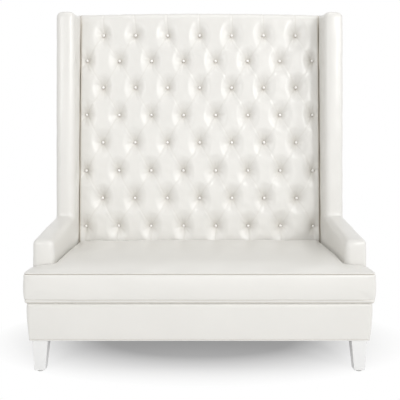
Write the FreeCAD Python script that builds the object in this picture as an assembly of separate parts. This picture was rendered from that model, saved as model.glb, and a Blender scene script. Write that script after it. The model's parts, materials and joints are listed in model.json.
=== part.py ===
import FreeCAD, Part
import math
import os

from BOPTools import SplitAPI
from FreeCAD import Vector

# High back settee, in millimetres: +X to the sitter's left as seen from the front, +Y to the back, +Z up.
# The origin is on the floor under the middle of the settee's bounding box.
# A depth is a distance behind the frontmost point of the seat cushion.

os.makedirs("parts", exist_ok=True)

# Overall layout
side_span = 1530.0              # over the outsides of the two arms
side_width = 100.0              # thickness of each arm and of the wing above it
leg_height = 143.0
platform_height = 310.0         # top of the upholstered base
arm_setback = 94.0              # depth of the arm fronts
wing_setback = 458.0            # depth of the wing fronts
seat_depth = 563.0              # depth of the tufted back at seat height
seat_height = 470.0             # height where seat_depth is taken
back_rake = 0.033               # lean of the back, rearward per unit of height
arm_front_height = 575.0
arm_slope = 0.1456              # climb of the arm tops towards the wings
wing_height = 1722.0
back_height = 1736.0            # top of the back beside the wings
back_arch = 10.0                # extra height of the back's top at its middle

# Layers of the back, from the tufted surface rearwards
back_pad_thickness = 50.0
back_foam_thickness = 20.0
board_thickness = 9.0
back_rail_thickness = 45.0
back_cover_thickness = 5.0
back_pad_bottom = 330.0
back_top_radius = 35.0
back_top_padding = 50.0         # over the back's top rail, beside the wings
back_lower_level = 340.0        # underside of the lowest rail of the back

# Tufting
tuft_first_height = 553.4       # lowest row of buttons
tuft_top_margin = 115.8         # from the highest row to the top of the back at the wings
tuft_side_margin = 35.0         # from the outermost buttons to the wings
tuft_rows = 8
tuft_row_buttons = 8            # in the lowest row; the rows alternate between this and one fewer
tuft_depth = 28.0               # how far the pits lie behind the crowns
pleat_depth = 9.0               # halfway along a pleat
edge_pleat_depth = 8.0          # along the pleats that run out to the pad's edges
least_pleat_depth = 2.0
edge_pleat_share = 0.6          # of the mean depth at its two ends, halfway along an outer pleat
diamond_strips = 4
tuft_trim = 6.0                 # how far the uncut pad stands in front of the crowns
button_diameter = 22.0
button_rim = 2.5
button_dome = 5.5
button_clearance = 0.4
twine_diameter = 2.0

# Arms and wings
side_pad_wall = 36.0            # padding over the frame at the inside, front and top
side_edge_radius = 16.0
wing_edge_radius = 24.0
arm_inner_corner = 28.0
arm_outer_corner = 20.0
wing_inner_corner = 26.0
wing_outer_corner = 30.0
outside_panel_thickness = 8.0
outside_panel_inset = 30.0      # from the front and top faces of the arm and wing

# Base
base_setback = 20.0             # depth of the base border at its fullest
base_padding = 19.0             # border thickness there
border_full_height = 275.0
border_low_height = 200.0
border_top_draw = 4.0           # how far the border draws in at its top edge
border_low_draw = 4.5
border_bottom_draw = 12.5
border_overhang = 3.5           # how far the fullest part stands out past the arms
border_corner_radius = 20.0
rail_stock = 32.0
rail_top = 288.0
rail_bottom = 146.0
dust_cover_thickness = 1.5
cross_rail_height = 80.0
cross_rail_spacing = 500.0
corner_block_leg = 90.0
corner_block_height = 60.0
post_depth = 45.0
middle_rail_height = 60.0
middle_rail_level = 1010.0
stile_width = 60.0
dowel_diameter = 10.0
dowel_length = 50.0
dowel_edge = 35.0               # from a seat rail's top or bottom edge to its dowels

# Seat springs and deck
spring_count = 8
spring_spacing = 150.0
spring_wire = 3.8
spring_turn_radius = 11.0
spring_width = 50.0
clip_stock = 1.0
clip_length = 16.0
clip_width = 30.0
deck_thickness = 17.4

# Loose seat cushion
cushion_ear_half = 777.0        # half width over the two ears, at the fullest
cushion_clearance = 0.3         # to the arms, wings and deck
cushion_seam_height = 442.0
cushion_full_height = 385.0     # height where the boxing is fullest
cushion_seam_draw = 5.0
cushion_base_draw = 8.0
cushion_front_radius = 16.0
cushion_rear_radius = 20.0
cushion_back_gap = 5.0          # to the tufted back at the fullest
crown_edge_rise = 2.0           # upright strip of the top panel above the seam
crown_front = 32.0              # rise of the crown above that strip, above the arm fronts' line
crown_middle = 45.0
crown_rear = 39.0
crown_end_share = 0.12          # share of the crown that is left at the ends of the ears
crown_side_share = 0.84         # at the arms
crown_quarter_share = 0.97      # halfway from the arms to the middle
crown_shoulder = 55.0           # width of the fall at the rear edge
plan_margin = 50.0              # how far the crown's cutting shape reaches past the cushion
crown_fullness = 0.66           # share of the rise reached halfway up an edge
core_inset = 14.0
zip_length = 1180.0
zip_height = 384.0
zip_groove_height = 22.0
zip_groove_depth = 7.0
zip_tape_thickness = 1.2
zip_teeth_height = 6.0
zip_teeth_thickness = 1.6
slider_length = 14.0
slider_height = 9.0
slider_thickness = 2.0
slider_clearance = 0.3
slider_end_gap = 12.0

# Legs
leg_top_width = 69.0
leg_foot_width = 49.0
leg_top_depth = 48.0
leg_foot_depth = 36.0
leg_outer_draw = 7.0            # how far the outer face tapers in
leg_front_draw = 4.0
leg_chamfer = 3.0
leg_side_setback = 21.0         # from the outside of the arms
glide_diameter = 30.0
glide_height = 4.0
leg_plate_length = 56.0
leg_plate_width = 40.0
leg_bolt_diameter = 8.0
leg_bolt_depth = 40.0
leg_boss_diameter = 14.0
leg_boss_height = 8.0
leg_boss_clearance = 0.5
plate_screw_diameter = 4.0
plate_screw_length = 16.0
plate_screw_inset = 7.0

# Planes worked out from the sizes above
half_span = side_span / 2
half_back = half_span - side_width
half_board = half_back + side_pad_wall
half_frame = half_span - outside_panel_thickness
tuft_pitch_x = 2 * (half_back - tuft_side_margin) / (tuft_row_buttons - 1)
tuft_pitch_z = (back_height - tuft_top_margin - tuft_first_height) / (tuft_rows - 1)
half_rail = half_span + border_overhang - base_padding
wing_frame_top = wing_height - side_pad_wall
back_frame_top = back_height - back_top_padding
rail_front = base_setback + base_padding
foam_offset = back_pad_thickness
board_offset = foam_offset + back_foam_thickness
back_rail_offset = board_offset + board_thickness
cover_offset = back_rail_offset + back_rail_thickness
rear_offset = cover_offset + back_cover_thickness
back_top = back_height + back_arch
overall_depth = seat_depth + (back_top - seat_height) * back_rake + rear_offset
clip_height = spring_wire + 2 * clip_stock
deck_top = rail_top + clip_height + cushion_clearance + deck_thickness
cushion_bottom = deck_top + cushion_clearance
far = 3000.0                    # longer than the whole settee


def back_depth(z, offset=0.0):
    """Depth of the plane that lies offset behind the crowns of the tufted back, at height z."""
    return seat_depth + (z - seat_height) * back_rake + offset


def at(x, depth, z):
    """The point in the settee's frame."""
    return Vector(x, depth - overall_depth / 2, z)


def face_of(edges):
    return Part.Face(Part.Wire(edges))


def polygon(points):
    return Part.makePolygon(points + [points[0]])


def box(x0, x1, d0, d1, z0, z1):
    return Part.makeBox(x1 - x0, d1 - d0, z1 - z0, at(x0, d0, z0))


def side_prism(x0, x1, outline):
    """Extrusion along X of an outline given as (depth, height) pairs."""
    face = Part.Face(polygon([at(x0, depth, z) for depth, z in outline]))
    return face.extrude(Vector(x1 - x0, 0, 0))


def raked_slab(x0, x1, offset0, offset1, z0, z1):
    """Block between two planes parallel to the back."""
    outline = [(back_depth(z0, offset0), z0), (back_depth(z1, offset0), z1),
               (back_depth(z1, offset1), z1), (back_depth(z0, offset1), z0)]
    return side_prism(x0, x1, outline)


def mirrored(shape):
    return shape.mirror(Vector(0, 0, 0), Vector(1, 0, 0))


def both_sides(shape):
    return [shape, mirrored(shape)]


def rod(start, direction, diameter, length):
    return Part.makeCylinder(diameter / 2, length, start, direction)


def rounded_outline(corners, place):
    """Edges through (u, v, radius) corners, each rounded by an arc; place turns (u, v) into a point."""
    edges = []
    count = len(corners)
    starts, ends = [], []
    for i, (u, v, radius) in enumerate(corners):
        here = Vector(u, v, 0)
        before = Vector(*corners[i - 1][:2], 0) - here
        after = Vector(*corners[(i + 1) % count][:2], 0) - here
        before.normalize()
        after.normalize()
        half = before.getAngle(after) / 2
        run = radius / math.tan(half)
        middle = before + after
        middle.normalize()
        inside = here + middle * (radius / math.sin(half) - radius)
        starts.append(here + before * run)
        ends.append(here + after * run)
        if radius > 0:
            arc = [starts[-1], inside, ends[-1]]
            edges.append(Part.Arc(*[place(p.x, p.y) for p in arc]).toShape())
        else:
            edges.append(None)
    whole = []
    for i in range(count):
        if edges[i] is not None:
            whole.append(edges[i])
        begin, finish = ends[i], starts[(i + 1) % count]
        whole.append(Part.LineSegment(place(begin.x, begin.y), place(finish.x, finish.y)).toShape())
    return whole


# The tufted back

def tuft_height(row):
    return tuft_first_height + row * tuft_pitch_z


def beyond(column, row):
    """How many half pitches a grid place lies outside the buttoned field; 0 or less is inside."""
    return max(row - (tuft_rows - 1), -row, abs(column) - (tuft_row_buttons - 1))


def node_depth(column, row):
    steps = beyond(column, row)
    if steps <= 0:
        return tuft_depth
    return edge_pleat_depth if steps == 2 else 0.0


def tuft_point(column, row, depth_behind):
    z = tuft_height(row)
    return at(column * tuft_pitch_x / 2, back_depth(z, depth_behind), z)


def fold_depth(first, second):
    """Depth halfway along the pleat between two grid places."""
    if beyond(*first) <= 0 and beyond(*second) <= 0:
        return pleat_depth
    mean = (node_depth(*first) + node_depth(*second)) / 2
    return max(least_pleat_depth, edge_pleat_share * mean)


def through(start, middle, end, share):
    """Value of the parabola through three equally spaced values."""
    return (start * (1 - share) * (1 - 2 * share) + middle * 4 * share * (1 - share)
            + end * share * (2 * share - 1))


def diamond_faces(column, row):
    """Four-cornered puff between the buttons left, right, above and below its middle."""
    left, right = (column - 1, row), (column + 1, row)
    above, below = (column, row + 1), (column, row - 1)
    puff = edge_pleat_depth if beyond(column, row) == 1 else 0.0
    wires = []
    for step in range(diamond_strips + 1):
        share = step / diamond_strips
        start = through(node_depth(*left), fold_depth(left, below), node_depth(*below), share)
        middle = through(fold_depth(left, above), puff, fold_depth(below, right), share)
        end = through(node_depth(*above), fold_depth(above, right), node_depth(*right), share)
        ends = [tuft_point(column - 1 + share, row - share, start),
                tuft_point(column - 0.5 + share, row + 0.5 - share, middle),
                tuft_point(column + share, row + 1 - share, end)]
        wires.append(Part.Wire(Part.Arc(*ends).toShape()))
    return Part.makeLoft(wires, False, True).Faces


def tufted_sheet():
    """The whole quilted surface, which runs past the pad's edges on all sides."""
    faces = []
    for row in range(-2, tuft_rows + 1):
        for column in range(-tuft_row_buttons, tuft_row_buttons + 1):
            if (row + column) % 2 == 0:
                faces += diamond_faces(column, row)
    sheet = Part.Compound(faces)
    sheet.sewShape(0.01)
    return sheet.Shells[0]


def button_places():
    """Bottom of each pit, as points of the settee's frame."""
    places = []
    for row in range(tuft_rows):
        for column in range(1 - tuft_row_buttons, tuft_row_buttons):
            if (row + column) % 2:
                places.append(tuft_point(column, row, tuft_depth))
    return places


def arch_prism(half_width, below, z_side, z_middle):
    """Block under an arched top line, through the settee from front to back."""
    start = at(-half_width, -far / 2, z_side)
    end = at(half_width, -far / 2, z_side)
    top = Part.Arc(end, at(0, -far / 2, z_middle), start).toShape()
    low_left = at(-half_width, -far / 2, below)
    low_right = at(half_width, -far / 2, below)
    outline = [top, Part.makeLine(start, low_left), Part.makeLine(low_left, low_right), Part.makeLine(low_right, end)]
    return face_of(outline).extrude(Vector(0, 2 * far, 0))


def tufted_back_pad(places):
    """Leather and batting with the pits and pleats, rounded over at the top."""
    half = half_back - cushion_clearance
    outline = [(back_depth(back_pad_bottom, -tuft_trim), back_pad_bottom, 0),
               (back_depth(back_top, -tuft_trim), back_top, back_top_radius),
               (back_depth(back_top, back_pad_thickness), back_top, 0),
               (back_depth(back_pad_bottom, back_pad_thickness), back_pad_bottom, 0)]
    side = rounded_outline(outline, lambda depth, z: at(-half, depth, z))
    block = face_of(side).extrude(Vector(2 * half, 0, 0))
    block = block.common(arch_prism(half, 0, back_height, back_top))
    pieces = SplitAPI.slice(block, [tufted_sheet()], "Split", 0.0).Solids
    pad = max(pieces, key=lambda solid: solid.Volume)
    seats = []
    for place in places:
        seats.append(rod(place - Vector(0, 2 * tuft_depth, 0), Vector(0, 1, 0),
                         button_diameter + 2 * button_clearance, 2 * tuft_depth))
        seats.append(rod(place - Vector(0, 1, 0), Vector(0, 1, 0), twine_diameter, 2 * back_pad_thickness))
    return pad.cut(Part.Compound(seats))


def back_top_roll():
    """Padding over the top rail, under the arched top."""
    half = half_back - cushion_clearance
    roll = raked_slab(-half, half, back_pad_thickness, cover_offset, back_frame_top, back_top)
    return roll.common(arch_prism(half, 0, back_height, back_top))


def tuft_button():
    """Covered button at the origin: a flat back that faces +Y, a short rim and a domed front."""
    radius = button_diameter / 2
    ball = (radius ** 2 + button_dome ** 2) / (2 * button_dome)
    core = rod(Vector(0, 0, 0), Vector(0, -1, 0), button_diameter, button_rim + 2 * button_dome)
    dome = Part.makeSphere(ball, Vector(0, ball - button_rim - button_dome, 0))
    return core.common(dome)


def twine_run():
    return back_rail_offset - tuft_depth


def twine_holes(places, diameter):
    return Part.Compound([rod(place, Vector(0, 1, 0), diameter, twine_run()) for place in places])


# Arms and wings, modelled on the +X side and mirrored

def arm_top(depth):
    return arm_front_height + (depth - arm_setback) * arm_slope


def frame_outline(inset, low):
    """L-shaped side view of arm and wing, drawn in from their front and top faces."""
    step = wing_setback + inset
    return [(arm_setback + inset, low), (arm_setback + inset, arm_top(arm_setback + inset) - inset),
            (step, arm_top(step) - inset), (step, wing_height - inset), (far, wing_height - inset), (far, low)]


def arm_block():
    corners = [(half_back, 0, 0), (half_span, 0, 0), (half_span, arm_front_height, arm_outer_corner),
               (half_back, arm_front_height, arm_inner_corner)]
    outline = rounded_outline(corners, lambda x, z: at(x, arm_setback, z))
    reach = wing_setback + side_pad_wall - arm_setback
    block = face_of(outline).extrude(Vector(0, reach, reach * arm_slope))
    front = [e for e in block.Edges if e.BoundBox.YLength < 0.01 and e.BoundBox.ZMax > 1
             and abs(e.BoundBox.YMin - at(0, arm_setback, 0).y) < 0.01]
    return block.makeFillet(side_edge_radius, front)


def wing_block():
    low = arm_front_height - side_pad_wall
    corners = [(half_back, low, 0), (half_span, low, 0), (half_span, wing_height, wing_outer_corner),
               (half_back, wing_height, wing_inner_corner)]
    outline = rounded_outline(corners, lambda x, z: at(x, wing_setback, z))
    block = face_of(outline).extrude(Vector(0, far, 0))
    front = [e for e in block.Edges if e.BoundBox.YLength < 0.01 and e.BoundBox.ZMax > low + 1
             and abs(e.BoundBox.YMin - at(0, wing_setback, 0).y) < 0.01]
    return block.makeFillet(wing_edge_radius, front)


def side_block():
    """Outer form of one arm with its wing, down to the platform and back to the outside back."""
    rear = box(half_back, half_span, wing_setback + wing_edge_radius, far / 2, 1, arm_front_height)
    form = arm_block().fuse(wing_block()).fuse(rear)
    form = form.cut(box(0, far, -far, far, -far, platform_height))
    return form.cut(raked_slab(0, far, cover_offset, far, 0, 2 * back_top)).removeSplitter()


def side_pad(form):
    """Inside arm and wing, their fronts and tops, hollow for the frame and open at the outside."""
    low = platform_height - 1
    hollow = side_prism(half_board, half_frame, frame_outline(side_pad_wall, low))
    pocket = side_prism(half_frame, half_span + 1, frame_outline(outside_panel_inset, low))
    behind = raked_slab(0, half_board, board_offset, far, low, back_frame_top)
    return form.cut(hollow).cut(pocket).cut(behind)


def outside_panel():
    """Outside arm and wing in one piece, set into the pad's edge."""
    panel = side_prism(half_frame, half_span, frame_outline(outside_panel_inset, platform_height))
    return panel.cut(raked_slab(0, far, cover_offset, far, 0, 2 * back_top))


def outside_back():
    """Outside back, cut to the outline of wings and arched top."""
    start = at(half_back, -far, back_height)
    top = Part.Arc(start, at(0, -far, back_top), at(-half_back, -far, back_height)).toShape()
    side = [(half_back, back_height), (half_back, wing_height), (half_span - wing_outer_corner, wing_height)]
    right = [at(x, -far, z) for x, z in side]
    corner_middle = wing_outer_corner * (1 - math.sqrt(0.5))
    outer = at(half_span, -far, wing_height - wing_outer_corner)
    foot = at(half_span, -far, leg_height)
    arc = Part.Arc(right[-1], at(half_span - corner_middle, -far, wing_height - corner_middle), outer).toShape()
    half = [Part.makeLine(a, b) for a, b in zip(right, right[1:])]
    half += [arc, Part.makeLine(outer, foot)]
    other = [mirrored(edge) for edge in half]
    base = Part.makeLine(foot, Vector(-foot.x, foot.y, foot.z))
    edges = Part.sortEdges([top, base] + half + other)[0]
    block = face_of(edges).extrude(Vector(0, 3 * far, 0))
    return block.common(raked_slab(-far, far, cover_offset, rear_offset, 0, 2 * back_top))


# Wooden frame

def front_rail():
    return box(-half_rail, half_rail, rail_front, rail_front + rail_stock, rail_bottom, rail_top)


def back_rail():
    return raked_slab(-half_board, half_board, back_rail_offset, cover_offset, rail_bottom, rail_top)


def side_rail():
    outline = [(rail_front + rail_stock, rail_bottom), (rail_front + rail_stock, rail_top),
               (back_depth(rail_top, back_rail_offset), rail_top),
               (back_depth(rail_bottom, back_rail_offset), rail_bottom)]
    return side_prism(half_rail - rail_stock, half_rail, outline)


def cross_rail():
    x0 = cross_rail_spacing / 2 - rail_stock / 2
    outline = [(rail_front + rail_stock, rail_bottom), (rail_front + rail_stock, rail_bottom + cross_rail_height),
               (back_depth(rail_bottom + cross_rail_height, back_rail_offset), rail_bottom + cross_rail_height),
               (back_depth(rail_bottom, back_rail_offset), rail_bottom)]
    return side_prism(x0, x0 + rail_stock, outline)


def back_post():
    return notched(raked_slab(half_board, half_frame, back_rail_offset, cover_offset, rail_bottom, wing_frame_top))


def notched(post):
    """A post of arm or wing, narrowed where it stands inside the border."""
    return post.cut(box(half_rail, far, 0, far, 0, platform_height))


def arm_post():
    front = arm_setback + side_pad_wall
    outline = [(front, rail_top), (front, arm_top(front) - side_pad_wall),
               (front + post_depth, arm_top(front + post_depth) - side_pad_wall), (front + post_depth, rail_top)]
    return notched(side_prism(half_board, half_frame, outline))


def arm_rail():
    start = arm_setback + side_pad_wall + post_depth
    end = wing_setback + side_pad_wall
    outline = [(start, arm_top(start) - side_pad_wall - rail_stock), (start, arm_top(start) - side_pad_wall),
               (end, arm_top(end) - side_pad_wall), (end, arm_top(end) - side_pad_wall - rail_stock)]
    return side_prism(half_board, half_frame, outline)


def wing_post():
    front = wing_setback + side_pad_wall
    return notched(box(half_board, half_frame, front, front + post_depth, rail_top, wing_frame_top))


def wing_rail():
    start = wing_setback + side_pad_wall + post_depth
    low = wing_frame_top - rail_stock
    outline = [(start, low), (start, wing_frame_top), (back_depth(wing_frame_top, back_rail_offset), wing_frame_top),
               (back_depth(low, back_rail_offset), low)]
    return side_prism(half_board, half_frame, outline)


def back_cross_rail(low):
    return raked_slab(-half_board, half_board, back_rail_offset, cover_offset, low, low + middle_rail_height)


def back_stiles():
    """Upright between the cross rails of the back, one in each bay."""
    levels = [back_lower_level, middle_rail_level, back_frame_top - middle_rail_height]
    bays = zip(levels, levels[1:])
    half = stile_width / 2
    return [raked_slab(-half, half, back_rail_offset, cover_offset, low + middle_rail_height, high) for low, high in bays]


def corner_block(depth, towards_back):
    """Three-cornered block in the angle of two seat rails, glued and screwed."""
    x = half_rail - rail_stock
    z = rail_bottom
    sign = 1 if towards_back else -1
    points = [at(x, depth, z), at(x - corner_block_leg, depth, z), at(x, depth - sign * corner_block_leg, z)]
    return Part.Face(polygon(points)).extrude(Vector(0, 0, corner_block_height))


def frame_dowels():
    """Dowels along X through the side rails and posts into the rails that end on them."""
    dowels = []
    inset = dowel_length / 2
    for z in (rail_bottom + dowel_edge, rail_top - dowel_edge):
        depth = back_depth(z, back_rail_offset + back_rail_thickness / 2)
        dowels += both_sides(rod(at(half_board - inset, depth, z), Vector(1, 0, 0), dowel_diameter, dowel_length))
        start = at(half_rail - rail_stock / 2, rail_front + rail_stock - dowel_length / 2, z)
        dowels += both_sides(rod(start, Vector(0, 1, 0), dowel_diameter, dowel_length))
    for low in (back_lower_level, middle_rail_level, back_frame_top - middle_rail_height):
        z = low + middle_rail_height / 2
        depth = back_depth(z, back_rail_offset + back_rail_thickness / 2)
        dowels += both_sides(rod(at(half_board - inset, depth, z), Vector(1, 0, 0), dowel_diameter, dowel_length))
    return dowels


# Seat springs

def spring(x):
    """Zigzag wire from the front rail to the back rail: straight runs joined by half turns."""
    z = rail_top + clip_stock + spring_wire / 2
    start = rail_front + rail_stock / 2
    end = back_depth(rail_top, back_rail_offset) + clip_length / 2
    pitch = 2 * spring_turn_radius
    runs = int((end - start) / pitch)
    reach = spring_width / 2 - spring_turn_radius
    edges = []
    for run in range(runs + 1):
        side = 1 if run % 2 == 0 else -1
        depth = start + run * pitch
        edges.append(Part.makeLine(at(x - side * reach, depth, z), at(x + side * reach, depth, z)))
        if run < runs:
            bend = [at(x + side * reach, depth, z), at(x + side * (reach + spring_turn_radius), depth + pitch / 2, z),
                    at(x + side * reach, depth + pitch, z)]
            edges.append(Part.Arc(*bend).toShape())
    first = edges[0].Vertexes[0].Point
    section = Part.Wire(Part.makeCircle(spring_wire / 2, first, Vector(1, 0, 0)))
    return Part.Wire(edges).makePipeShell([section], True, False), (start, start + runs * pitch)


def spring_clip(x, depth):
    """Folded strip over one end run of a spring, on top of the seat rail."""
    inner = spring_wire / 2 + 0.01
    z = rail_top + clip_stock + spring_wire / 2
    outer = box(x - clip_width / 2, x + clip_width / 2, depth - clip_length / 2, depth + clip_length / 2,
                rail_top, rail_top + clip_height)
    return outer.cut(box(x - clip_width, x + clip_width, depth - inner, depth + clip_length, z - inner, z + inner))


def seat_deck():
    """Padded platform under the cushion, widened in front of the arms."""
    low, high = deck_top - deck_thickness, deck_top
    rear = back_depth(low, back_rail_offset)
    stem = half_back - cushion_clearance
    front = box(-half_rail, half_rail, rail_front, arm_setback - cushion_clearance, low, high)
    main = box(-stem, stem, arm_setback - 1, rear, low, high)
    return front.fuse(main).removeSplitter()


# Base border

def border_outline(z, draw):
    """Plan of the border's outside: across the front and back along both sides."""
    half = half_span + border_overhang - draw
    corners = [(-half, base_setback + draw, border_corner_radius), (half, base_setback + draw, border_corner_radius),
               (half, far / 2, 0), (-half, far / 2, 0)]
    return Part.Wire(rounded_outline(corners, lambda x, depth: at(x, depth, z)))


def base_border():
    """Padded band round the front and sides of the base, fullest above its middle."""
    sections = [border_outline(leg_height, border_bottom_draw), border_outline(border_low_height, border_low_draw),
                border_outline(border_full_height, 0), border_outline(platform_height, border_top_draw)]
    form = Part.makeLoft(sections, True, False)
    inner = box(-half_rail, half_rail, rail_front, far, 0, far)
    behind = raked_slab(-far, far, cover_offset, far, -far, far)
    return form.cut(inner).cut(behind)


# Loose seat cushion

def cushion_outline(z, draw):
    """T-shaped plan of the cushion: ears in front of the arms, stem between them."""
    ear = cushion_ear_half - draw
    stem = half_back - cushion_clearance - draw
    ear_rear = arm_setback - cushion_clearance - draw
    rear = back_depth(cushion_full_height) - cushion_back_gap - draw
    corners = [(-ear, draw, cushion_front_radius), (ear, draw, cushion_front_radius),
               (ear, ear_rear, cushion_rear_radius), (stem, ear_rear, 0), (stem, rear, cushion_rear_radius),
               (-stem, rear, cushion_rear_radius), (-stem, ear_rear, 0), (-ear, ear_rear, cushion_rear_radius)]
    return Part.Wire(rounded_outline(corners, lambda x, depth: at(x, depth, z)))


def crown_section(x, share):
    """Side view of the space under the crown at one place across the cushion; share scales its rise."""
    rear = back_depth(cushion_full_height) - cushion_back_gap - cushion_seam_draw
    front = cushion_seam_draw
    edge = cushion_seam_height + crown_edge_rise
    rise = [crown_front * share, crown_middle * share, crown_rear * share]
    half_up = front + (arm_setback - front) / 3
    points = [(front, edge), (half_up, edge + rise[0] * crown_fullness), (arm_setback, edge + rise[0]),
              (rear / 2 + arm_setback / 2, edge + rise[1]), (rear - crown_shoulder, edge + rise[2]),
              (rear - crown_shoulder / 3, edge + rise[2] * crown_fullness), (rear, edge)]
    spots = [at(x, depth, z) for depth, z in points]
    edges = [Part.Arc(*spots[i:i + 3]).toShape() for i in (0, 2, 4)]
    outer = [spots[-1], at(x, rear + plan_margin, edge), at(x, rear + plan_margin, cushion_bottom - plan_margin),
             at(x, front - plan_margin, cushion_bottom - plan_margin), at(x, front - plan_margin, edge), spots[0]]
    edges += [Part.makeLine(a, b) for a, b in zip(outer, outer[1:])]
    return Part.Wire(edges)


def under_crown():
    """Space below the crowned top, wider than the cushion all round."""
    stations = [(cushion_ear_half + plan_margin, crown_end_share), (half_back, crown_side_share),
                (half_back / 2, crown_quarter_share), (0, 1)]
    whole = [(-x, share) for x, share in stations[:-1]] + stations[::-1]
    return Part.makeLoft([crown_section(x, share) for x, share in whole], True, False)


def cushion_form():
    sections = [cushion_outline(cushion_bottom, cushion_base_draw), cushion_outline(cushion_full_height, 0),
                cushion_outline(cushion_seam_height, cushion_seam_draw)]
    boxing = Part.makeLoft(sections, True, False)
    top = Part.Face(sections[-1]).extrude(Vector(0, 0, plan_margin + crown_middle))
    return boxing.fuse(top).common(under_crown())


def cushion_core():
    """Cut block of foam inside the fibre wrap and leather."""
    plan = Part.Face(cushion_outline(cushion_bottom + core_inset, cushion_seam_draw + core_inset))
    return plan.extrude(Vector(0, 0, cushion_seam_height - cushion_bottom - 2 * core_inset))


def zip_depths():
    """Depth of the groove's floor and of the cushion's rear face beside it."""
    rear = back_depth(cushion_full_height) - cushion_back_gap
    return rear - zip_groove_depth, rear


def zip_groove():
    floor, rear = zip_depths()
    return box(-zip_length / 2, zip_length / 2, floor, rear + 5, zip_height - zip_groove_height / 2,
               zip_height + zip_groove_height / 2)


def zip_tape():
    """Tape on the groove's floor with the closed row of teeth along its middle."""
    floor = zip_depths()[0]
    tape = box(-zip_length / 2, zip_length / 2, floor, floor + zip_tape_thickness,
               zip_height - zip_groove_height / 2, zip_height + zip_groove_height / 2)
    teeth = box(-zip_length / 2, zip_length / 2, floor, floor + zip_tape_thickness + zip_teeth_thickness,
                zip_height - zip_teeth_height / 2, zip_height + zip_teeth_height / 2)
    return tape.fuse(teeth).removeSplitter()


def zip_slider():
    """Slider body that straddles the teeth, parked at the closed end."""
    face = zip_depths()[0] + zip_tape_thickness
    teeth_face = face + zip_teeth_thickness
    x0 = -zip_length / 2 + slider_end_gap
    top = teeth_face + slider_clearance
    half = slider_height / 2
    body = box(x0, x0 + slider_length, face + slider_clearance, top + slider_thickness, zip_height - half, zip_height + half)
    channel = zip_teeth_height / 2 + slider_clearance
    body = body.cut(box(x0 - 1, x0 + slider_length + 1, face, top, zip_height - channel, zip_height + channel))
    return body


# Legs, modelled at the front on the +X side

def leg_frame():
    """Outer X and front depth of a front leg's top."""
    return half_span - leg_side_setback, rail_front


def leg_section(x_outer, depth, width, thickness, z, inset=0.0):
    """Rectangle of a leg at height z, from its outer front corner."""
    x0, x1 = x_outer - width + inset, x_outer - inset
    d0, d1 = depth + inset, depth + thickness - inset
    return polygon([at(x0, d0, z), at(x1, d0, z), at(x1, d1, z), at(x0, d1, z)])


def leg():
    """Square tapered leg with a chamfered foot."""
    outer, front = leg_frame()
    foot = (outer - leg_outer_draw, front + leg_front_draw, leg_foot_width, leg_foot_depth)
    sections = [leg_section(*foot, glide_height, leg_chamfer), leg_section(*foot, glide_height + leg_chamfer),
                leg_section(outer, front, leg_top_width, leg_top_depth, leg_height)]
    return Part.makeLoft(sections, True, True)


def leg_axis():
    outer, front = leg_frame()
    return outer - leg_top_width / 2, front + leg_top_depth / 2


def leg_bolt():
    x, depth = leg_axis()
    length = leg_bolt_depth + rail_bottom - leg_height + leg_boss_height
    return rod(at(x, depth, leg_height - leg_bolt_depth), Vector(0, 0, 1), leg_bolt_diameter, length)


def leg_plate():
    x, depth = leg_axis()
    plate = box(x - leg_plate_length / 2, x + leg_plate_length / 2, depth - leg_plate_width / 2,
                depth + leg_plate_width / 2, leg_height, rail_bottom)
    boss = rod(at(x, depth, leg_height), Vector(0, 0, 1), leg_boss_diameter, rail_bottom - leg_height + leg_boss_height)
    return plate.fuse(boss)


def plate_screws():
    x, depth = leg_axis()
    dx = leg_plate_length / 2 - plate_screw_inset
    dy = leg_plate_width / 2 - plate_screw_inset
    head = rail_bottom - leg_height
    screws = []
    for sx in (-1, 1):
        for sy in (-1, 1):
            place = at(x + sx * dx, depth + sy * dy, leg_height)
            cone = Part.makeCone(plate_screw_diameter, plate_screw_diameter / 2, head, place)
            shank = rod(place, Vector(0, 0, 1), plate_screw_diameter, plate_screw_length)
            screws.append(cone.fuse(shank).removeSplitter())
    return screws


def glide():
    outer, front = leg_frame()
    x = outer - leg_outer_draw - leg_foot_width / 2
    depth = front + leg_front_draw + leg_foot_depth / 2
    return rod(at(x, depth, 0), Vector(0, 0, 1), glide_diameter, glide_height)


def boss_hole():
    x, depth = leg_axis()
    return rod(at(x, depth, leg_height), Vector(0, 0, 1), leg_boss_diameter + 2 * leg_boss_clearance,
               rail_bottom - leg_height + leg_boss_height + leg_boss_clearance)


def to_rear(shape):
    """The same piece turned round for a rear leg, its outer face against the outside back."""
    turned = shape.mirror(at(0, 0, 0), Vector(0, 1, 0))
    return turned.translate(Vector(0, rear_leg_plane() + rail_front, 0))


def rear_leg_plane():
    """Depth of the rear faces of the rear legs, flush with the back rail."""
    return back_depth(rail_bottom, cover_offset)


def all_corners(shape):
    """Copies at the four corners, in the order front right, front left, rear right, rear left."""
    rear = to_rear(shape.copy())
    return [shape, mirrored(shape), rear, mirrored(rear)]


def dust_cover(plates):
    """Thin cloth stapled under the seat rails, cut out round the leg plates."""
    margin = 8.0
    low, high = rail_bottom - dust_cover_thickness, rail_bottom
    rear = back_depth(rail_bottom, cover_offset) - margin
    cloth = box(-half_rail + margin, half_rail - margin, rail_front + margin, rear, low, high)
    openings = []
    for plate in plates:
        b = plate.BoundBox
        openings.append(Part.makeBox(b.XLength + 8, b.YLength + 8, 20, Vector(b.XMin - 4, b.YMin - 4, low - 5)))
    return cloth.cut(Part.Compound(openings))


parts = {}
places = button_places()
dowels = Part.Compound(frame_dowels())
plates = all_corners(leg_plate())
bolts = all_corners(leg_bolt())
screws = [screw for piece in plate_screws() for screw in all_corners(piece)]
screw_set = Part.Compound(screws)
bolt_set = Part.Compound(bolts)
under_holes = Part.Compound(all_corners(boss_hole()) + screws)

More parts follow.
